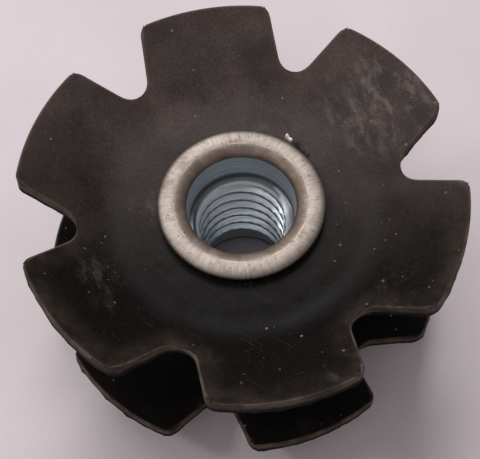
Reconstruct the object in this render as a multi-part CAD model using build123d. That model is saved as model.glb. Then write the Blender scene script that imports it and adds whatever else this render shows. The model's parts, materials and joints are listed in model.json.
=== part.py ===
from build123d import *

import math
import os

# Star nut for a bicycle headset: two cupped six-petal spring steel stars on one threaded sleeve.
#
# The nut is driven down inside a steerer tube. The petals slope up and outwards, so they slide in
# but bite the tube wall when the top cap bolt pulls on the thread. The sleeve is turned from bar: a
# spacer with a collar at each end. Each collar goes through a star and is rolled over it, which
# clamps the star flat against the spacer's shoulder.
#
# Millimetres. +Z runs up the thread axis, towards the side where the bolt goes in. The origin is on
# the axis, in the flat foot of the lower rolled flange. A petal of the upper star is centred on +X.

# Stars. Both are the same pressing.
sheet = 0.85                 # spring steel thickness
star_radius = 12.0           # axis to the upper edge of a petal's tip
petal_rise = 2.95            # height of that edge above the star's flat centre
rim_flare = 0.16             # how far the rim's lower edge stands out past its upper edge
petal_run = 4.45             # from that edge in to where flat and slope would meet with no bend radius
bend_radius = 3.0            # on the hollow, upper side of the sheet
petal_count = 6
notch_depth = 2.9            # from the tip edge in to the deepest point of a notch, seen from above
notch_fillet = 1.15          # round at the root of a notch
notch_half_angle = 32.7      # each side of a notch against its centre line, seen from above
tip_corner_fillet = 0.7      # round at the two outer corners of a petal
lower_star_turn = 10.0       # the lower star sits turned by this much: nothing keys it

# Sleeve, from the axis outwards.
thread_minor_radius = 2.5    # M6 x 1 internal thread: the bore is modelled at its crests
thread_chamfer = 0.12
counterbore_step = 0.62      # the bore opens by this much inside each collar
collar_wall = 0.88           # the thinned end that goes through a star
shoulder_width = 1.0         # the ring of the spacer's end that a star sits on
flange_overhang = 0.68       # how far the rolled end of a collar reaches out over its star
flange_rim_fillet = 0.32     # round outer rim of a rolled flange
flange_mouth_fillet = 0.3    # round inner lip of a rolled flange
spacer_chamfer = 0.3

# Sleeve, along the axis.
spacer_length = 8.3          # shoulder to shoulder, which sets the distance between the stars
flange_thickness = 0.7
counterbore_depth = 2.4      # from a flange's outer face to the start of the thread

# Fits.
collar_clearance = 0.02      # radial gap between a collar and the hole in its star

# Radii that follow.
counterbore_radius = thread_minor_radius + counterbore_step
collar_radius = counterbore_radius + collar_wall
spacer_radius = collar_radius + shoulder_width
flange_radius = collar_radius + flange_overhang
bend_corner_radius = star_radius - petal_run
notch_root_radius = star_radius - notch_depth
slope = math.atan2(petal_rise, petal_run)

# Heights above the foot that follow.
lower_star_bottom = flange_thickness
lower_shoulder = lower_star_bottom + sheet
upper_shoulder = lower_shoulder + spacer_length
upper_star_bottom = upper_shoulder
upper_star_top = upper_star_bottom + sheet
sleeve_top = upper_star_top + flange_thickness
thread_bottom = counterbore_depth
thread_top = sleeve_top - counterbore_depth


def cupped_blank():
    """The star before its notches: flat in the middle, bent up all round. Its underside is at Z = 0."""
    tangent_length = bend_radius * math.tan(slope / 2)
    flat_end = bend_corner_radius - tangent_length
    bend_centre = sheet + bend_radius
    upper_bend_end = (
        flat_end + bend_radius * math.sin(slope),
        bend_centre - bend_radius * math.cos(slope),
    )
    lower_bend_end = (
        flat_end + (bend_radius + sheet) * math.sin(slope),
        bend_centre - (bend_radius + sheet) * math.cos(slope),
    )
    upper_tip = (star_radius, sheet + petal_rise)
    lower_tip = (
        star_radius + rim_flare,
        sheet + petal_rise + rim_flare * math.tan(slope) - sheet / math.cos(slope),
    )
    half_turn = slope / 2
    upper_bend_middle = (
        flat_end + bend_radius * math.sin(half_turn),
        bend_centre - bend_radius * math.cos(half_turn),
    )
    lower_bend_middle = (
        flat_end + (bend_radius + sheet) * math.sin(half_turn),
        bend_centre - (bend_radius + sheet) * math.cos(half_turn),
    )
    hole_radius = collar_radius + collar_clearance
    with BuildPart() as blank:
        with BuildSketch(Plane.XZ):
            with BuildLine():
                Line((hole_radius, 0), (flat_end, 0))
                ThreePointArc((flat_end, 0), lower_bend_middle, lower_bend_end)
                Line(lower_bend_end, lower_tip)
                Line(lower_tip, upper_tip)
                Line(upper_tip, upper_bend_end)
                ThreePointArc(upper_bend_end, upper_bend_middle, (flat_end, sheet))
                Line((flat_end, sheet), (hole_radius, sheet))
                Line((hole_radius, sheet), (hole_radius, 0))
            make_face()
        revolve(axis=Axis.Z)
    return blank.part


def notch_punch():
    """A rounded V that opens outwards along +X. Its sides run straight down the axis."""
    half_angle = math.radians(notch_half_angle)
    point = notch_root_radius + notch_fillet * (1 - 1 / math.sin(half_angle))
    reach = star_radius + rim_flare + sheet
    mouth = (reach - point) * math.tan(half_angle)
    with BuildPart() as punch:
        with BuildSketch(Plane.XY) as outline:
            with BuildLine():
                Polyline((point, 0), (reach, mouth), (reach, -mouth), (point, 0))
            make_face()
            fillet(outline.vertices().sort_by(Axis.X)[0], notch_fillet)
        extrude(amount=2 * (sheet + petal_rise), both=True)
    return punch.part


def star():
    """One star, with its underside at Z = 0 and a petal centred on +X."""
    pitch = 360 / petal_count
    cutter = notch_punch()
    shape = cupped_blank()
    for index in range(petal_count):
        shape -= cutter.rotate(Axis.Z, (index + 0.5) * pitch)
    tip_corners = [edge for edge in shape.edges() if is_tip_corner(edge)]
    return fillet(tip_corners, tip_corner_fillet)


def radius_of(point):
    """Distance from the thread axis."""
    return math.hypot(point.X, point.Y)


def is_tip_corner(edge):
    """True for the short edges, from the upper to the lower rim, at the outer corners of a petal."""
    ends = edge.vertices()
    crosses_rim = len(ends) == 2 and abs(ends[0].Z - ends[1].Z) > sheet / 2
    return crosses_rim and all(radius_of(end) > star_radius - 1e-3 for end in ends)


def sleeve():
    """The threaded spacer with its two collars rolled over, standing on its lower flange."""
    with BuildPart() as body:
        with BuildSketch(Plane.XZ) as half_section:
            with BuildLine():
                Polyline(
                    (thread_minor_radius, thread_bottom),
                    (counterbore_radius, thread_bottom),
                    (counterbore_radius, 0),
                    (flange_radius, 0),
                    (flange_radius, flange_thickness),
                    (collar_radius, flange_thickness),
                    (collar_radius, lower_shoulder),
                    (spacer_radius, lower_shoulder),
                    (spacer_radius, upper_shoulder),
                    (collar_radius, upper_shoulder),
                    (collar_radius, upper_star_top),
                    (flange_radius, upper_star_top),
                    (flange_radius, sleeve_top),
                    (counterbore_radius, sleeve_top),
                    (counterbore_radius, thread_top),
                    (thread_minor_radius, thread_top),
                    close=True,
                )
            make_face()
            round_corners(half_section, flange_radius, (0, sleeve_top), flange_rim_fillet)
            round_corners(half_section, counterbore_radius, (0, sleeve_top), flange_mouth_fillet)
            shoulders = (lower_shoulder, upper_shoulder)
            chamfer(corners(half_section, spacer_radius, shoulders), spacer_chamfer)
            thread_ends = (thread_bottom, thread_top)
            chamfer(corners(half_section, thread_minor_radius, thread_ends), thread_chamfer)
        revolve(axis=Axis.Z)
    return body.part


def corners(half_section, radius, heights):
    """The section's corners at this radius and these heights."""
    return [
        corner
        for corner in half_section.vertices()
        if abs(corner.X - radius) < 1e-6 and any(abs(corner.Z - h) < 1e-6 for h in heights)
    ]


def round_corners(half_section, radius, heights, size):
    """Rounds the section's corners at this radius and these heights."""
    fillet(corners(half_section, radius, heights), size)


def main():
    pressing = star()
    parts = {
        "upper_star": pressing.translate((0, 0, upper_star_bottom)),
        "lower_star": pressing.rotate(Axis.Z, lower_star_turn).translate((0, 0, lower_star_bottom)),
        "threaded_sleeve": sleeve(),
    }
    os.makedirs("parts", exist_ok=True)
    for name, part in parts.items():
        export_step(part, f"parts/{name}.step")


main()
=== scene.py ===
import json
import math

import bpy
from mathutils import Matrix, Vector, kdtree, noise


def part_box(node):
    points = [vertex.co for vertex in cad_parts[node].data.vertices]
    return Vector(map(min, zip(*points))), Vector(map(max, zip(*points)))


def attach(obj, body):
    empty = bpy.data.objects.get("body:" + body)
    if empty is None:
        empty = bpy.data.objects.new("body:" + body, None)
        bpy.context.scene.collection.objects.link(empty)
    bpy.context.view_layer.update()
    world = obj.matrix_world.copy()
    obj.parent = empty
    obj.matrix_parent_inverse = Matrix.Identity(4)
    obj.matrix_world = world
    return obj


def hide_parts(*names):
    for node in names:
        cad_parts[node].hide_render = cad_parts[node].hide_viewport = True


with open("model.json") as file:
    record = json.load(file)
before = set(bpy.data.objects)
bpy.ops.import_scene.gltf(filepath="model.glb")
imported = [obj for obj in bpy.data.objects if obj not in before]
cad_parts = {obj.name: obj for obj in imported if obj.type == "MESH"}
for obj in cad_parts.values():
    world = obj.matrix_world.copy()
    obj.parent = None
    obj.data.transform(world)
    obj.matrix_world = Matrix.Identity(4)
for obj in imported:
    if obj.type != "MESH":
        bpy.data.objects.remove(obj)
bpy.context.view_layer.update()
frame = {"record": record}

mm = 0.001

# Sizes of the two stars, in millimetres.
sheet = 0.85
star_radius = 12.0
rim_flare = 0.16
petal_rise = 2.95
petal_run = 4.45
bend_radius = 3.0
petals = 6
notch_depth = 2.9
notch_fillet = 1.15
notch_half_angle = math.radians(32.7)
tip_fillet = 0.7
hole_radius = 4.02
die_roll = 0.16
wall_rows = (0.1, 0.15, 0.2)  # the torn lower rows of a blanked wall, from its lower edge
lower_star_turn = math.radians(10)
handled_width = 1.3  # hands and tube walls rub the petals this far in from their edges
sliver_start, sliver_turn = math.radians(54), math.radians(26)
slope = math.atan2(petal_rise, petal_run)
hair = 0.01  # places nearer to each other than this are the same place

# Sizes of the sleeve, in millimetres.
thread = next(m for m in frame["record"]["mounts"] if m["name"] == "m6_thread")
bore_radius = thread["dims"]["r_mm"]
thread_pitch = 1.0
thread_depth = 0.53
thread_crest = 0.11  # half the width of a crest
thread_flank = 0.31
rows_a_turn = 26
counterbore_radius = 3.12
counterbore_depth = 2.4
counterbore_taper = 0.12
collar_radius = 4.0
spacer_radius = 5.0
flange_thickness = 0.7
spacer_length = 8.3
spacer_round = 0.25
# A rolled flange from the wall of the counterbore, over its pinched lip, funnel and crown, to its
# underside: each point's radius, and its depth below the flange's outer face.
rolled_flange = [
    (3.16, 0.80),
    (3.12, 0.62),
    (3.07, 0.48),
    (3.10, 0.36),
    (3.22, 0.25),
    (3.40, 0.15),
    (3.60, 0.07),
    (3.80, 0.02),
    (4.02, 0.0),
    (4.24, 0.01),
    (4.42, 0.035),
    (4.56, 0.08),
    (4.65, 0.16),
    (4.67, 0.25),
    (4.62, 0.36),
    (4.50, 0.47),
    (4.38, 0.58),
]
sleeve_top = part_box("threaded_sleeve")[1].z / mm
upper_star_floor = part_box("upper_star")[0].z / mm
lower_star_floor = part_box("lower_star")[0].z / mm


def deselect_all():
    if bpy.context.object and bpy.context.object.mode != "OBJECT":
        bpy.ops.object.mode_set(mode="OBJECT")
    bpy.ops.object.select_all(action="DESELECT")


def edit(piece):
    """Opens one piece in edit mode with all of it selected."""
    deselect_all()
    piece.select_set(True)
    bpy.context.view_layer.objects.active = piece
    bpy.ops.object.mode_set(mode="EDIT")
    bpy.ops.mesh.select_mode(type="VERT")
    bpy.ops.mesh.select_all(action="SELECT")


def finish_mesh(piece, angle):
    """Merges doubles, turns faces outwards, smooths all but sharp edges, and makes it metres."""
    edit(piece)
    bpy.ops.mesh.remove_doubles(threshold=0.001)
    bpy.ops.mesh.normals_make_consistent(inside=False)
    bpy.ops.object.mode_set(mode="OBJECT")
    bpy.ops.object.shade_smooth_by_angle(angle=math.radians(angle))
    piece.data.transform(Matrix.Scale(mm, 4))


# ---- stars -------------------------------------------------------------------------------------


def along(lengths, share):
    """Which stretch of a composite line lies at this share of its length, and how far along it."""
    distance = share * sum(lengths)
    for index, length in enumerate(lengths):
        if distance <= length or index == len(lengths) - 1:
            return index, min(1.0, distance / length)
        distance -= length


root_radius = star_radius - notch_depth
notch_centre = root_radius + notch_fillet
notch_point = notch_centre - notch_fillet / math.sin(notch_half_angle)
side_way = Vector((math.cos(notch_half_angle), math.sin(notch_half_angle)))
side_out = Vector((-side_way.y, side_way.x))
side_start = Vector((notch_centre, 0)) + notch_fillet * side_out
offset_start = Vector((notch_point, 0)) + tip_fillet * side_out
along_offset = offset_start.dot(side_way)
tip_centre = offset_start + side_way * (
    -along_offset
    + math.sqrt(along_offset**2 - offset_start.length_squared + (star_radius - tip_fillet) ** 2)
)
side_end = tip_centre - tip_fillet * side_out
tip_turn_start = notch_half_angle - math.pi / 2
tip_turn_end = math.atan2(tip_centre.y, tip_centre.x)
tip_turn_middle = (tip_turn_start + tip_turn_end) / 2
half_petal = math.pi / petals

# Rows of faces from the hole out to the tip, and across a petal. The notch's root is at root_row.
rows_out, rows_across = 38, 24
root_row = 20 / rows_out
side_lengths = [
    root_radius - hole_radius,
    notch_fillet * (math.pi / 2 - notch_half_angle),
    (side_end - side_start).length,
    tip_fillet * (tip_turn_middle - tip_turn_start),
]
root_share = side_lengths[0] / sum(side_lengths)


def on_circle(centre, radius, angle):
    return Vector(centre) + radius * Vector((math.cos(angle), math.sin(angle)))


def petal_side(share):
    """From the hole along the notch's line, round its root, and up its side to the tip corner."""
    stretch, part = along(side_lengths, share)
    if stretch == 0:
        return Vector((hole_radius + part * (root_radius - hole_radius), 0))
    if stretch == 1:
        turn = math.pi + part * (notch_half_angle - math.pi / 2)
        return on_circle((notch_centre, 0), notch_fillet, turn)
    if stretch == 2:
        return side_start.lerp(side_end, part)
    turn = tip_turn_start + part * (tip_turn_middle - tip_turn_start)
    return on_circle(tip_centre, tip_fillet, turn)


def petal_tip(share):
    """Half the tip, from the middle of the petal round to the middle of its corner."""
    rim_turn = half_petal - tip_turn_end
    lengths = [star_radius * rim_turn, tip_fillet * (tip_turn_end - tip_turn_middle)]
    stretch, part = along(lengths, share)
    if stretch == 0:
        return on_circle((0, 0), star_radius, half_petal - part * rim_turn)
    return on_circle(tip_centre, tip_fillet, tip_turn_end - part * (tip_turn_end - tip_turn_middle))


def half_petal_point(across, out):
    """A point of half a petal. Across is 0 in its middle, 1 at the notch. Out is 1 at the tip."""
    if out <= root_row:
        side_share = out / root_row * root_share
    else:
        side_share = root_share + (out - root_row) / (1 - root_row) * (1 - root_share)
    middle = Vector((math.cos(half_petal), math.sin(half_petal)))
    start_turn = half_petal * (1 - across)
    start = on_circle((0, 0), hole_radius, start_turn)
    end = petal_tip(across)
    centre_line = middle * (hole_radius + out * (star_radius - hole_radius))
    side = petal_side(side_share)
    corners = (
        (1 - across) * (1 - out) * middle * hole_radius
        + across * (1 - out) * Vector((hole_radius, 0))
        + (1 - across) * out * middle * star_radius
        + across * out * petal_tip(1)
    )
    return (1 - out) * start + out * end + (1 - across) * centre_line + across * side - corners


def upper_surface(radius):
    """Height of a star's upper surface above the underside of its flat centre."""
    flat_end = star_radius - petal_run - bend_radius * math.tan(slope / 2)
    if radius <= flat_end:
        return sheet
    if radius < flat_end + bend_radius * math.sin(slope):
        return sheet + bend_radius - math.sqrt(bend_radius**2 - (radius - flat_end) ** 2)
    return sheet + (radius - star_radius + petal_run) * math.tan(slope)


def lower_surface(radius):
    """Height of a star's lower surface above the same underside."""
    flat_end = star_radius - petal_run - bend_radius * math.tan(slope / 2)
    outer = bend_radius + sheet
    if radius <= flat_end:
        return 0.0
    if radius < flat_end + outer * math.sin(slope):
        return outer - math.sqrt(outer**2 - (radius - flat_end) ** 2)
    corner = sheet - sheet / math.cos(slope)
    return corner + (radius - star_radius + petal_run) * math.tan(slope)


def new_marks(piece, *names):
    """Adds a number to every vertex under each of these names."""
    for name in names:
        piece.data.attributes.new(name, "FLOAT", "POINT")
    return [piece.data.attributes[name].data for name in names]


def mark_outline(piece):
    """Marks the flat star's outer outline, and how near to it the rest lies, for walls and wear."""
    uses = {}
    for face in piece.data.polygons:
        for key in face.edge_keys:
            uses[key] = uses.get(key, 0) + 1
    vertices = piece.data.vertices
    rim = {index for key, count in uses.items() for index in key if count == 1}
    rim = sorted(index for index in rim if vertices[index].co.length > hole_radius + 1)
    nearest = kdtree.KDTree(len(rim))
    for index in rim:
        nearest.insert(vertices[index].co, index)
    nearest.balance()
    marks, near = new_marks(piece, "outline", "near_edge")
    for vertex in vertices:
        distance = nearest.find(vertex.co)[2]
        marks[vertex.index].value = float(distance < 1e-6)
        near[vertex.index].value = max(0.0, 1 - distance / handled_width)


def press_star(name, floor, turn):
    """One star: a flat petal sheet, copied round, given its thickness and die roll, then cupped."""
    deselect_all()
    bpy.ops.mesh.primitive_grid_add(x_subdivisions=rows_across, y_subdivisions=rows_out, size=2)
    piece = bpy.context.object
    piece.name = piece.data.name = name
    for vertex in piece.data.vertices:
        across, out = abs(vertex.co.x), (vertex.co.y + 1) / 2
        spot = half_petal_point(across, out)
        angle = half_petal - math.atan2(spot.y, spot.x)
        if vertex.co.x < 0:
            angle = -angle
        vertex.co = Vector((math.cos(angle), math.sin(angle), 0)) * spot.length
    edit(piece)
    others = petals - 1
    bpy.ops.mesh.spin(
        steps=others, angle=math.tau * others / petals, dupli=True, center=(0, 0, 0), axis=(0, 0, 1)
    )
    bpy.ops.mesh.select_all(action="SELECT")
    bpy.ops.mesh.remove_doubles(threshold=0.003)
    bpy.ops.mesh.normals_make_consistent(inside=False)
    bpy.ops.object.mode_set(mode="OBJECT")
    mark_outline(piece)
    # The walls in rows, then the rounded upper edge, which the blanking punch pulls down.
    edit(piece)
    for step in (*wall_rows, sheet - die_roll - sum(wall_rows)):
        bpy.ops.mesh.extrude_region_move(TRANSFORM_OT_translate={"value": (0, 0, step)})
    # The flat sheet's faces look down, so a negative depth lifts them.
    turns = [math.radians(a) for a in (0, 25, 50, 70, 90)]
    for before, after in zip(turns, turns[1:]):
        bpy.ops.mesh.inset(
            thickness=die_roll * (math.cos(before) - math.cos(after)),
            depth=-die_roll * (math.sin(after) - math.sin(before)),
            use_boundary=True,
            use_even_offset=True,
        )
    bpy.ops.object.mode_set(mode="OBJECT")
    outline = [mark.value > 0.5 for mark in piece.data.attributes["outline"].data]
    worn_and_highlit_edge, cut_face = new_marks(piece, "worn_and_highlit_edge", "cut_face")
    for vertex in piece.data.vertices:
        x, y, z = vertex.co
        radius, share = math.hypot(x, y), z / sheet
        on_wall = outline[vertex.index] and z < sheet - die_roll - hair
        # The upper half of the outline's wall and its die roll are marked for wear and a painted
        # highlight.
        worn_and_highlit_edge[vertex.index].value = float(outline[vertex.index] and z > sheet / 2)
        cut_face[vertex.index].value = float(on_wall)
        if on_wall:
            # The lower part of a blanked wall is torn, and its edge carries an uneven burr.
            torn = (1 - share) ** 2
            spot = vertex.co.copy()
            rough = noise.noise(spot * 5.5) + 0.5 * noise.noise(spot * 13)
            burr = max(0.0, noise.noise(Vector((x, y, turn * 9)) * 1.1) - 0.05) * (z < hair)
            outwards = 0.035 * torn * rough - 0.05 * torn + 0.10 * burr
            x, y = x * (1 + outwards / radius), y * (1 + outwards / radius)
            z -= 0.20 * burr
            share = z / sheet
        height = lower_surface(radius) * (1 - share) + upper_surface(radius) * share
        spread = rim_flare * max(0.0, (radius - 11) / (star_radius - 11)) * (1 - share)
        wide = (radius + spread) / radius
        height += spread * math.tan(slope)
        vertex.co = x * wide, y * wide, height + floor
    piece.data.transform(Matrix.Rotation(turn, 4, "Z"))
    finish_mesh(piece, 40)
    return piece


def raise_sliver(star):
    """The sliver of steel that rolling the collar tore up beside the flange, joined to its star."""
    deselect_all()
    bpy.ops.mesh.primitive_plane_add(size=1)
    sliver = bpy.context.object
    for vertex, spot in zip(sliver.data.vertices, ((4.80, 0), (5.12, 0), (4.88, 1), (5.02, 1))):
        vertex.co = spot[0], 0, spot[1]
    edit(sliver)
    bpy.ops.mesh.spin(steps=26, angle=sliver_turn, center=(0, 0, 0), axis=(0, 0, 1))
    bpy.ops.object.mode_set(mode="OBJECT")
    glinting_tips, _ = new_marks(sliver, "bare_glinting_metal", "cut_face")
    for vertex in sliver.data.vertices:
        x, y, z = vertex.co
        share = abs(math.atan2(y, x)) / sliver_turn
        ragged = 0.75 + 0.9 * noise.noise(Vector((share * 9, 0.3, 0.7)))
        high = (0.10 + 0.42 * share) * ragged * min(1.0, 6 * (1 - share) + 0.35)
        radius = math.hypot(x, y) + 0.30 * share**2 + 0.10 * z * ragged
        turn = sliver_start + share * sliver_turn
        # The torn tip is marked for bare steel and a painted highlight.
        glinting_tips[vertex.index].value = float(z > 0.5 and share > 0.8)
        vertex.co = math.cos(turn) * radius, math.sin(turn) * radius, 0
        vertex.co.z = upper_star_floor + sheet - 0.08 + z * high
    finish_mesh(sliver, 30)
    deselect_all()
    sliver.select_set(True)
    star.select_set(True)
    bpy.context.view_layer.objects.active = star
    bpy.ops.object.join()


# ---- sleeve ------------------------------------------------------------------------------------


def rounded(points, radii):
    """The points of a line in the radius and height plane, with its listed corners rounded."""
    line, steps = [], 6
    for index, point in enumerate(points):
        radius = radii.get(index, 0)
        here = Vector(point)
        if not radius:
            line.append(here)
            continue
        back = (Vector(points[index - 1]) - here).normalized()
        on = (Vector(points[(index + 1) % len(points)]) - here).normalized()
        half = back.angle(on) / 2
        reach = radius / math.tan(half)
        centre = here + (back + on).normalized() * radius / math.sin(half)
        first, last = here + back * reach - centre, here + on * reach - centre
        turn = first.angle_signed(last)
        for step in range(steps + 1):
            angle = -turn * step / steps
            line.append(centre + Matrix.Rotation(angle, 2) @ first)
    return line


def turn_sleeve(name):
    """The sleeve's half section, spun round the axis, with the thread cut outwards in its bore."""
    lower_shoulder = flange_thickness + sheet
    upper_shoulder = lower_shoulder + spacer_length
    thread_low, thread_high = counterbore_depth, sleeve_top - counterbore_depth
    step_radius = counterbore_radius - counterbore_taper
    section = [(bore_radius, thread_low), (step_radius, thread_low)]
    section += rolled_flange
    section += [(collar_radius, flange_thickness), (collar_radius, lower_shoulder)]
    shoulder = len(section)
    section += [(spacer_radius, lower_shoulder), (spacer_radius, upper_shoulder)]
    section += [(collar_radius, upper_shoulder), (collar_radius, sleeve_top - flange_thickness)]
    section += [(radius, sleeve_top - depth) for radius, depth in reversed(rolled_flange)]
    section += [(step_radius, thread_high), (bore_radius, thread_high)]
    line = rounded(section, {shoulder: spacer_round, shoulder + 1: spacer_round})
    deselect_all()
    bpy.ops.mesh.primitive_plane_add(size=1)
    piece = bpy.context.object
    piece.name = piece.data.name = name
    edit(piece)
    bpy.ops.mesh.merge(type="CENTER")
    bpy.ops.transform.translate(value=(line[0].x, 0, line[0].y))
    for before, after in zip(line, line[1:]):
        step = (after.x - before.x, 0, after.y - before.y)
        bpy.ops.mesh.extrude_region_move(TRANSFORM_OT_translate={"value": step})
    # The bore wall closes the section, in steps fine enough to take the thread.
    rows = round((thread_high - thread_low) / thread_pitch * rows_a_turn)
    step = (0, 0, (thread_low - thread_high) / rows)
    for _ in range(rows):
        bpy.ops.mesh.extrude_region_move(TRANSFORM_OT_translate={"value": step})
    bpy.ops.mesh.select_all(action="SELECT")
    bpy.ops.mesh.spin(steps=120, angle=math.tau, center=(0, 0, 0), axis=(0, 0, 1))
    bpy.ops.mesh.select_all(action="SELECT")
    bpy.ops.mesh.remove_doubles(threshold=0.002)
    bpy.ops.object.mode_set(mode="OBJECT")
    for vertex in piece.data.vertices:
        x, y, z = vertex.co
        radius = math.hypot(x, y)
        if abs(radius - bore_radius) > hair:
            continue
        phase = (z / thread_pitch - math.atan2(y, x) / math.tau) % 1.0
        from_crest = abs(phase - 0.5) * thread_pitch
        flank = (from_crest - thread_crest) / thread_flank
        cut = thread_depth * min(1.0, max(0.0, flank))
        # Both ends of the thread open in a chamfer.
        from_end = min(z - thread_low, thread_high - z)
        if from_end < 0.3:
            cut = max(cut, 0.35 - from_end * 1.2)
        wide = (bore_radius + cut) / radius
        vertex.co = x * wide, y * wide, z
    finish_mesh(piece, 38)
    return piece


# ---- materials ---------------------------------------------------------------------------------


def linear(code):
    """A hex colour as linear red, green, blue and alpha."""
    parts = [int(code[i : i + 2], 16) / 255 for i in (1, 3, 5)]
    return [p / 12.92 if p <= 0.04045 else ((p + 0.055) / 1.055) ** 2.4 for p in parts] + [1.0]


def add_node(tree, kind, settings, inputs, output=0):
    """Adds a node and gives one of its outputs. Settings are its own fields. Inputs are values, or
    sockets to link, by name or in order."""
    node = tree.nodes.new("ShaderNode" + kind)
    for field, value in settings.items():
        setattr(node, field, value)
    for socket, value in inputs.items() if isinstance(inputs, dict) else enumerate(inputs):
        if isinstance(value, bpy.types.NodeSocket):
            tree.links.new(value, node.inputs[socket])
        else:
            node.inputs[socket].default_value = value
    return node.outputs[output]


# Settings that many nodes share. A smooth Map Range takes a value, where it starts, where it ends,
# and what to give at the two. A colour mix takes a share at 0 and its two colours at 6 and 7.
smooth = {"interpolation_type": "SMOOTHSTEP"}
colours = {"data_type": "RGBA"}
plus = {"operation": "ADD"}
minus = {"operation": "SUBTRACT"}
times = {"operation": "MULTIPLY"}
larger = {"operation": "MAXIMUM"}
size_only = {"operation": "ABSOLUTE"}
above = {"operation": "GREATER_THAN"}
below = {"operation": "LESS_THAN"}
magnitude = {"operation": "LENGTH"}
unit = {"operation": "NORMALIZE"}
scaled = {"operation": "SCALE"}
into = {"invert": True}


def new_material(name):
    material = bpy.data.materials.new(name)
    material.use_nodes = True
    return material, material.node_tree, material.node_tree.nodes["Principled BSDF"]


def in_millimetres(tree, turn=0.0, stretch=(1, 1, 1), centre=(0, 0, 0)):
    """Object coordinates in millimetres, turned about the axis, then squeezed along their axes."""
    place = add_node(tree, "TexCoord", {}, [], "Object")
    place = add_node(tree, "Mapping", {}, {"Vector": place, "Scale": [1 / mm] * 3})
    turned = {"Vector": place, "Rotation": (0, 0, math.radians(turn)), "Location": centre}
    place = add_node(tree, "Mapping", {}, turned)
    return add_node(tree, "Mapping", {}, {"Vector": place, "Scale": stretch})


def scratches(tree, turn, wide, long, spare):
    """Thin straight scratches one way, this wide and long in millimetres. Spare keeps a few."""
    place = in_millimetres(tree, turn, (1 / long, 1 / wide, 1 / long))
    cells = {"Vector": place, "Scale": 1.0, "Detail": 1.0, "Roughness": 0.4}
    lines = add_node(tree, "TexNoise", {}, cells)
    return add_node(tree, "MapRange", smooth, [lines, spare, spare + 0.05])


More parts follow.
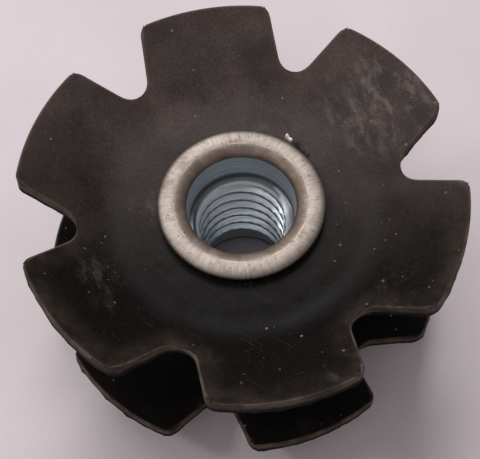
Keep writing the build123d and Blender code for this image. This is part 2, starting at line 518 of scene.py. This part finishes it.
def phosphated_steel():
    """Spring steel, blanked, formed and black phosphated. The eye gets near-black crystals dulled
    by dry oil, a brownish bloom of dust where hands have been, and bare brown metal along rubbed
    edges, lightened there by a painted highlight."""
    material, tree, shader = new_material("black_phosphated_spring_steel")
    place = in_millimetres(tree)
    height = add_node(tree, "SeparateXYZ", {}, [place], "Z")
    # Phosphate crystals are about 0.02 mm: drawn at 0.125 mm, so that they show.
    cells = {"Vector": place, "Scale": 1 / 0.125, "Detail": 3.0, "Roughness": 0.6}
    crystals = add_node(tree, "TexNoise", {}, cells)
    # Oil dries in patches about 3 mm across.
    cells = {"Vector": place, "Scale": 1 / 2.857, "Detail": 3.0, "Roughness": 0.55}
    patches = add_node(tree, "TexNoise", {}, cells)
    share = add_node(tree, "MapRange", smooth, [crystals, 0.35, 0.7])
    layers = {0: share, 6: linear("#0c0a09"), 7: linear("#161311")}
    colour = add_node(tree, "Mix", colours, layers, 2)
    # Dust lies over one side of the upper star and fades out across it; the same mask paints that
    # side lighter, as painted light.
    across = add_node(tree, "SeparateXYZ", {}, [in_millimetres(tree, -18)], "Y")
    dust_and_lit_side = add_node(tree, "MapRange", smooth, [across, -6.5, 9.5])
    high_up = add_node(tree, "MapRange", smooth, [height, 8.5, 10.5])
    patchy = add_node(tree, "MapRange", smooth, [patches, 0.2, 0.75, 0.45, 1.0])
    grainy = add_node(tree, "MapRange", smooth, [crystals, 0.3, 0.7, 0.7, 1.1])
    dust_and_light = add_node(tree, "Math", times, [dust_and_lit_side, patchy])
    dust_and_light = add_node(tree, "Math", times, [dust_and_light, high_up])
    dust_and_light = add_node(tree, "Math", times, [dust_and_light, grainy])
    colour = add_node(tree, "Mix", colours, {0: dust_and_light, 6: colour, 7: linear("#5a4f4c")}, 2)
    # A brown bloom where the petals are handled, strongest at their edges, in blots of 1.25 mm.
    near_edge = add_node(tree, "Attribute", {"attribute_name": "near_edge"}, [], "Fac")
    cells = {"Vector": place, "Scale": 1 / 1.25, "Detail": 4.0, "Roughness": 0.6}
    blots = add_node(tree, "TexNoise", {}, cells)
    blots = add_node(tree, "MapRange", smooth, [blots, 0.35, 0.65, 0.25, 1.0])
    upwards = add_node(tree, "MapRange", smooth, [height, 4.5, 12.5, 0.25, 1.0])
    bloom = add_node(tree, "Math", times, [near_edge, blots])
    bloom = add_node(tree, "Math", times, [bloom, upwards])
    share = add_node(tree, "Math", times, [bloom, 0.42])
    colour = add_node(tree, "Mix", colours, {0: share, 6: colour, 7: linear("#51443d")}, 2)
    # One petal was scraped: chalky, cloudy scuffs, 1.6 mm long and 0.7 mm wide before they branch.
    scraped = in_millimetres(tree, 0, (1, 1, 0), (-5.6, -8.6, 0))
    scraped = add_node(tree, "VectorMath", magnitude, [scraped], "Value")
    scraped = add_node(tree, "MapRange", smooth, [scraped, 4.6, 1.2])
    scraped = add_node(tree, "Math", times, [scraped, high_up])
    cells = {"Vector": in_millimetres(tree, 50, (0.7, 1.6, 1)), "Scale": 1 / 1.111}
    scuffs = add_node(tree, "TexNoise", {}, {**cells, "Detail": 7.0, "Roughness": 0.75})
    scuffs = add_node(tree, "MapRange", smooth, [scuffs, 0.47, 0.66])
    # Fainter ones come and go every few millimetres.
    elsewhere = add_node(tree, "TexNoise", {}, {"Vector": place, "Scale": 1 / 3.333})
    elsewhere = add_node(tree, "MapRange", smooth, [elsewhere, 0.55, 0.7, 0.0, 0.35])
    elsewhere = add_node(tree, "Math", larger, [scraped, elsewhere])
    scuffs = add_node(tree, "Math", times, [scuffs, elsewhere])
    share = add_node(tree, "Math", times, [scuffs, 0.45])
    colour = add_node(tree, "Mix", colours, {0: share, 6: colour, 7: linear("#857b77")}, 2)
    # Fine scratches, 0.02 mm wide in truth: drawn 0.07 mm wide, in three directions.
    one_way, other_way = scratches(tree, 20, 0.07, 3.0, 0.72), scratches(tree, 75, 0.07, 2.0, 0.74)
    lines = add_node(tree, "Math", plus, [one_way, other_way])
    lines = add_node(tree, "Math", plus, [lines, scratches(tree, -40, 0.06, 2.5, 0.73)])
    dusty = add_node(tree, "MapRange", smooth, [across, -2.0, 11.0, 0.2, 1.0])
    broken = add_node(tree, "MapRange", smooth, [crystals, 0.4, 0.6, 0.3, 1.0])
    lines = add_node(tree, "Math", times, [lines, dusty])
    lines = add_node(tree, "Math", times, [lines, broken])
    share = add_node(tree, "Math", times, [lines, 0.45])
    colour = add_node(tree, "Mix", colours, {0: share, 6: colour, 7: linear("#857a74")}, 2)
    # Specks of lint and grit, 0.1 mm across, at most one to each 0.45 mm, and few of those.
    cells = {"Vector": place, "Scale": 1 / 0.4545, "Randomness": 1.0}
    from_speck = add_node(tree, "TexVoronoi", {}, cells, "Distance")
    chance = add_node(tree, "SeparateColor", {}, [from_speck.node.outputs["Color"]]).node.outputs
    gathered = add_node(tree, "TexNoise", {}, {"Vector": place, "Scale": 1 / 2.222})
    gathered = add_node(tree, "MapRange", smooth, [gathered, 0.42, 0.66, 0.9, 0.62])
    few = add_node(tree, "Math", above, [chance[0], gathered])
    speck_size = add_node(tree, "MapRange", smooth, [chance[1], 0.0, 1.0, 0.05, 0.17])
    specks = add_node(tree, "Math", below, [from_speck, speck_size])
    specks = add_node(tree, "Math", times, [specks, few])
    specks = add_node(tree, "Math", times, [specks, chance[2]])
    share = add_node(tree, "Math", times, [specks, 0.5])
    colour = add_node(tree, "Mix", colours, {0: share, 6: colour, 7: linear("#a79e99")}, 2)
    # The blanked wall keeps upright tear marks, 0.14 mm apart, dark with oil.
    cut = add_node(tree, "Attribute", {"attribute_name": "cut_face"}, [], "Fac")
    cells = {"Vector": in_millimetres(tree, 0, (1, 1, 0.12)), "Scale": 1 / 0.1429}
    tears = add_node(tree, "TexNoise", {}, {**cells, "Detail": 3.0, "Roughness": 0.7})
    share = add_node(tree, "MapRange", smooth, [tears, 0.35, 0.7])
    layers = {0: share, 6: linear("#080706"), 7: linear("#1d1917")}
    cut_colour = add_node(tree, "Mix", colours, layers, 2)
    colour = add_node(tree, "Mix", colours, {0: cut, 6: colour, 7: cut_colour}, 2)
    # The rounded upper edge is rubbed down to brown metal, in stretches of about a millimetre; the
    # lighter brown there is also a painted highlight along that edge.
    worn_and_highlit = add_node(tree, "Attribute", {"attribute_name": "worn_and_highlit_edge"}, [], "Fac")
    cells = {"Vector": place, "Scale": 1 / 1.111, "Detail": 3.0, "Roughness": 0.6}
    stretches = add_node(tree, "TexNoise", {}, cells)
    stretches = add_node(tree, "MapRange", smooth, [stretches, 0.38, 0.62, 0.35, 1.0])
    worn_and_highlit = add_node(tree, "Math", times, [worn_and_highlit, stretches])
    share = add_node(tree, "Math", times, [worn_and_highlit, 0.7])
    colour = add_node(tree, "Mix", colours, {0: share, 6: colour, 7: linear("#6b5c52")}, 2)
    # The torn tip of the sliver is bare steel, painted near-white: its own bright metal, and a
    # painted highlight.
    bare_and_glinting = add_node(tree, "Attribute", {"attribute_name": "bare_glinting_metal"}, [], "Fac")
    colour = add_node(tree, "Mix", colours, {0: bare_and_glinting, 6: colour, 7: linear("#e6e0da")}, 2)
    tree.links.new(colour, shader.inputs["Base Color"])
    shader.inputs["Metallic"].default_value = 0.0
    # The porous coat hardly shines.
    shader.inputs["Specular IOR Level"].default_value = 0.06
    rough = add_node(tree, "MapRange", smooth, [patches, 0.3, 0.7, 0.36, 0.46])
    for layer, amount in ((dust_and_light, 0.14), (crystals, 0.06), (cut, 0.2)):
        more = add_node(tree, "Math", times, [layer, amount])
        rough = add_node(tree, "Math", plus, [rough, more])
    tree.links.new(rough, shader.inputs["Roughness"])
    # Crystals stand proud, scratches are cut in, the sheet waves every 2 mm, and its wall is torn.
    waves = add_node(tree, "TexNoise", {}, {"Vector": place, "Scale": 1 / 2.0})
    relief = {"Strength": 0.6, "Distance": 0.012 * mm, "Height": crystals}
    relief = add_node(tree, "Bump", {}, relief)
    relief = {"Strength": 0.8, "Distance": 0.012 * mm, "Height": lines, "Normal": relief}
    relief = add_node(tree, "Bump", into, relief)
    relief = {"Strength": 1.0, "Distance": 0.10 * mm, "Height": waves, "Normal": relief}
    relief = add_node(tree, "Bump", {}, relief)
    relief = {"Strength": cut, "Distance": 0.05 * mm, "Height": tears, "Normal": relief}
    relief = add_node(tree, "Bump", {}, relief)
    tree.links.new(relief, shader.inputs["Normal"])
    return material


def plated_zinc():
    """Turned free-cutting steel, bright zinc plated. The bore keeps the plating's bluish shine. The
    rolled flange was smeared by the roller: warmer and satin, with fine marks across it, brown
    where oil was baked into its funnel, and one thin ring where the roller's edge ran."""
    material, tree, shader = new_material("bright_zinc_plated_steel")
    place = in_millimetres(tree)
    parts = add_node(tree, "SeparateXYZ", {}, [place]).node.outputs
    flat = add_node(tree, "CombineXYZ", {}, [parts["X"], parts["Y"]])
    radius = add_node(tree, "VectorMath", magnitude, [flat], "Value")
    way = add_node(tree, "VectorMath", unit, [flat])
    half = sleeve_top / 2
    from_middle = add_node(tree, "Math", minus, [parts["Z"], half])
    from_middle = add_node(tree, "Math", size_only, [from_middle])
    # 1 on both flanges, 0 down the bore and on the spacer.
    flange = add_node(tree, "MapRange", smooth, [from_middle, half - 0.62, half - 0.45])
    # The surface is uneven every 2 mm or so.
    unevenness = add_node(tree, "TexNoise", {}, {"Vector": place, "Scale": 1 / 1.667})
    # Turning rings down the bore, 0.05 mm apart in truth: drawn 0.14 mm apart, so that they show.
    along_axis = add_node(tree, "CombineXYZ", {}, [parts["Z"]])
    cells = {"Vector": along_axis, "Scale": 1 / 0.1429, "Detail": 3.0, "Roughness": 0.65}
    rings = add_node(tree, "TexNoise", {}, cells)
    # Smears across the flange, 0.12 mm wide at its crown and 0.8 mm long.
    cells_round, cells_out = 4.24 / 0.1178, 1 / 0.769
    smear_place = add_node(tree, "VectorMath", scaled, {0: way, "Scale": cells_round})
    smear_drift = add_node(tree, "Math", times, [radius, cells_out])
    smear_drift = add_node(tree, "CombineXYZ", {}, {2: smear_drift})
    smear_place = add_node(tree, "VectorMath", plus, [smear_place, smear_drift])
    cells = {"Vector": smear_place, "Scale": 1.0, "Detail": 4.0, "Roughness": 0.65}
    smears = add_node(tree, "TexNoise", {}, cells)
    # Oil stains about 1 mm across, and pits of 0.2 mm in the plating.
    cells = {"Vector": place, "Scale": 1 / 1.111, "Detail": 4.0, "Roughness": 0.62}
    stains = add_node(tree, "TexNoise", {}, cells)
    cells = {"Vector": place, "Scale": 1 / 0.2, "Detail": 3.0, "Roughness": 0.6}
    pits = add_node(tree, "TexNoise", {}, cells)
    share = add_node(tree, "MapRange", smooth, [rings, 0.3, 0.7])
    layers = {0: share, 6: linear("#b9c4ca"), 7: linear("#eaf0f4")}
    bore_colour = add_node(tree, "Mix", colours, layers, 2)
    share = add_node(tree, "MapRange", smooth, [smears, 0.15, 0.85])
    layers = {0: share, 6: linear("#847a72"), 7: linear("#a89e96")}
    satin = add_node(tree, "Mix", colours, layers, 2)
    funnel = add_node(tree, "MapRange", smooth, [radius, 3.85, 3.45])
    baked = add_node(tree, "MapRange", smooth, [stains, 0.3, 0.6, 0.45, 1.0])
    spilt = add_node(tree, "MapRange", smooth, [stains, 0.52, 0.72, 0.0, 0.6])
    brown = add_node(tree, "Math", times, [funnel, baked])
    brown = add_node(tree, "Math", larger, [brown, spilt])
    share = add_node(tree, "Math", times, [brown, 0.8])
    satin = add_node(tree, "Mix", colours, {0: share, 6: satin, 7: linear("#6f5e50")}, 2)
    pitted = add_node(tree, "MapRange", smooth, [pits, 0.63, 0.73])
    share = add_node(tree, "Math", times, [pitted, 0.5])
    satin = add_node(tree, "Mix", colours, {0: share, 6: satin, 7: linear("#4f453f")}, 2)
    # The roller's edge left a ring 0.036 mm wide, which shows here and there.
    roller_ring = add_node(tree, "Math", {"operation": "COMPARE"}, [radius, 3.74, 0.018])
    in_places = add_node(tree, "MapRange", smooth, [stains, 0.45, 0.6])
    roller_ring = add_node(tree, "Math", times, [roller_ring, in_places])
    share = add_node(tree, "Math", times, [roller_ring, 0.6])
    satin = add_node(tree, "Mix", colours, {0: share, 6: satin, 7: linear("#d8cfc6")}, 2)
    colour = add_node(tree, "Mix", colours, {0: flange, 6: bore_colour, 7: satin}, 2)
    # Painted shade: the ledge where the counterbore meets the thread is darkened.
    outside = add_node(tree, "MapRange", smooth, [radius, 2.55, 2.75])
    over = add_node(tree, "MapRange", smooth, [from_middle, half - 1.9, half - 2.3])
    under = add_node(tree, "MapRange", smooth, [from_middle, half - 2.8, half - 2.45])
    corner = add_node(tree, "Math", times, [outside, over])
    corner = add_node(tree, "Math", times, [corner, under])
    share = add_node(tree, "Math", times, [corner, 0.7])
    colour = add_node(tree, "Mix", colours, {0: share, 6: colour, 7: linear("#1c1b1b")}, 2)
    tree.links.new(colour, shader.inputs["Base Color"])
    shader.inputs["Metallic"].default_value = 1.0
    # The thread is bright, the counterbore satin, and the flange between the two.
    deep = add_node(tree, "MapRange", smooth, [from_middle, half - 2.6, half - 2.2])
    rough = add_node(tree, "MapRange", smooth, [deep, 0.0, 1.0, 0.22, 0.5])
    rolled = add_node(tree, "Math", times, [flange, 0.26])
    rough = add_node(tree, "Math", larger, [rough, rolled])
    for layer in (brown, unevenness):
        more = add_node(tree, "Math", times, [layer, 0.08])
        rough = add_node(tree, "Math", plus, [rough, more])
    tree.links.new(rough, shader.inputs["Roughness"])
    relief = {"Strength": 0.6, "Distance": 0.012 * mm, "Height": rings}
    relief = add_node(tree, "Bump", {}, relief)
    relief = {"Strength": flange, "Distance": 0.004 * mm, "Height": smears, "Normal": relief}
    relief = add_node(tree, "Bump", {}, relief)
    relief = {"Strength": 0.6, "Distance": 0.02 * mm, "Height": pitted, "Normal": relief}
    relief = add_node(tree, "Bump", into, relief)
    relief = {"Strength": 1.0, "Distance": 0.10 * mm, "Height": unevenness, "Normal": relief}
    relief = add_node(tree, "Bump", {}, relief)
    tree.links.new(relief, shader.inputs["Normal"])
    return material


def floor_card():
    """Matt coated card: pale, faintly cloudy, with a fibre grain that hardly shows."""
    material, tree, shader = new_material("matt_card")
    place = in_millimetres(tree)
    # Clouds 17 mm across.
    cells = {"Vector": place, "Scale": 1 / 16.67, "Detail": 3.0, "Roughness": 0.5}
    clouds = add_node(tree, "TexNoise", {}, cells)
    share = add_node(tree, "MapRange", smooth, [clouds, 0.3, 0.7])
    layers = {0: share, 6: linear("#d6ccce"), 7: linear("#dfd5d8")}
    colour = add_node(tree, "Mix", colours, layers, 2)
    # Fibres are about 0.03 mm wide: drawn at 0.25 mm.
    cells = {"Vector": place, "Scale": 1 / 0.25, "Detail": 2.0, "Roughness": 0.6}
    fibres = add_node(tree, "TexNoise", {}, cells)
    share = add_node(tree, "MapRange", smooth, [fibres, 0.3, 0.8, 0.0, 0.25])
    colour = add_node(tree, "Mix", colours, {0: share, 6: colour, 7: linear("#cdc2c5")}, 2)
    tree.links.new(colour, shader.inputs["Base Color"])
    shader.inputs["Roughness"].default_value = 0.9
    return material


def dress(piece, material, slot, *nodes):
    piece.data.materials.clear()
    piece.data.materials.append(material)
    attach(piece, "root")
    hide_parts(*nodes)


black_steel = phosphated_steel()
upper_star = press_star("upper_star_pressing", upper_star_floor, 0.0)
lower_star = press_star("lower_star_pressing", lower_star_floor, lower_star_turn)
raise_sliver(upper_star)
dress(upper_star, black_steel, "black_steel", "upper_star")
dress(lower_star, black_steel, "black_steel", "lower_star")
sleeve = turn_sleeve("rolled_threaded_sleeve")
dress(sleeve, plated_zinc(), "zinc_steel", "threaded_sleeve")

# ---- floor, light and camera -------------------------------------------------------------------

deselect_all()
bpy.ops.mesh.primitive_plane_add(size=1.2)
floor = bpy.context.object
floor.name = floor.data.name = "floor"
floor.data.materials.append(floor_card())

world = bpy.data.worlds.new("soft_room")
bpy.context.scene.world = world
world.use_nodes = True
world.node_tree.nodes["Background"].inputs["Color"].default_value = linear("#cfc9cc")
world.node_tree.nodes["Background"].inputs["Strength"].default_value = 0.50


def direction(azimuth, elevation):
    """The unit vector that points this way, in degrees."""
    turn, lift = math.radians(azimuth), math.radians(elevation)
    across = math.cos(lift)
    return Vector((math.cos(turn) * across, math.sin(turn) * across, math.sin(lift)))


lamp_distance = 0.25
nut_top = Vector((0, 0, sleeve_top * mm))


def softbox(name, azimuth, elevation, size, watts):
    """A square area light that looks at the nut's top from this direction."""
    light = bpy.data.lights.new(name, "AREA")
    light.size = size
    light.energy = watts
    lamp = bpy.data.objects.new(name, light)
    bpy.context.scene.collection.objects.link(lamp)
    way = direction(azimuth, elevation)
    lamp.location = nut_top + way * lamp_distance
    lamp.rotation_euler = way.to_track_quat("Z", "Y").to_euler()


softbox("main_softbox", 134, 52, 0.19, 0.30)
softbox("left_strip", 196, 50, 0.035, 0.08)
softbox("ceiling_softbox", -120, 68, 0.12, 0.03)
softbox("back_softbox", 110, 55, 0.07, 0.15)

lens_data = bpy.data.cameras.new("camera")
camera = bpy.data.objects.new("camera", lens_data)
bpy.context.scene.collection.objects.link(camera)
lens_data.sensor_fit = "HORIZONTAL"
lens_data.sensor_width = 36
lens_data.lens = 60.37
lens_data.clip_start = 0.001
lens_data.clip_end = 10
aim = Vector((0.40, -1.41, 10.7)) * mm
way = direction(-68.74, 63.49)
roll = math.radians(-2.42)
camera.location = aim + way * 44.39 * mm
facing = (-way).to_track_quat("-Z", "Y").to_matrix() @ Matrix.Rotation(roll, 3, "Z")
camera.rotation_euler = facing.to_euler()
bpy.context.scene.camera = camera
bpy.context.scene.view_settings.view_transform = "Standard"
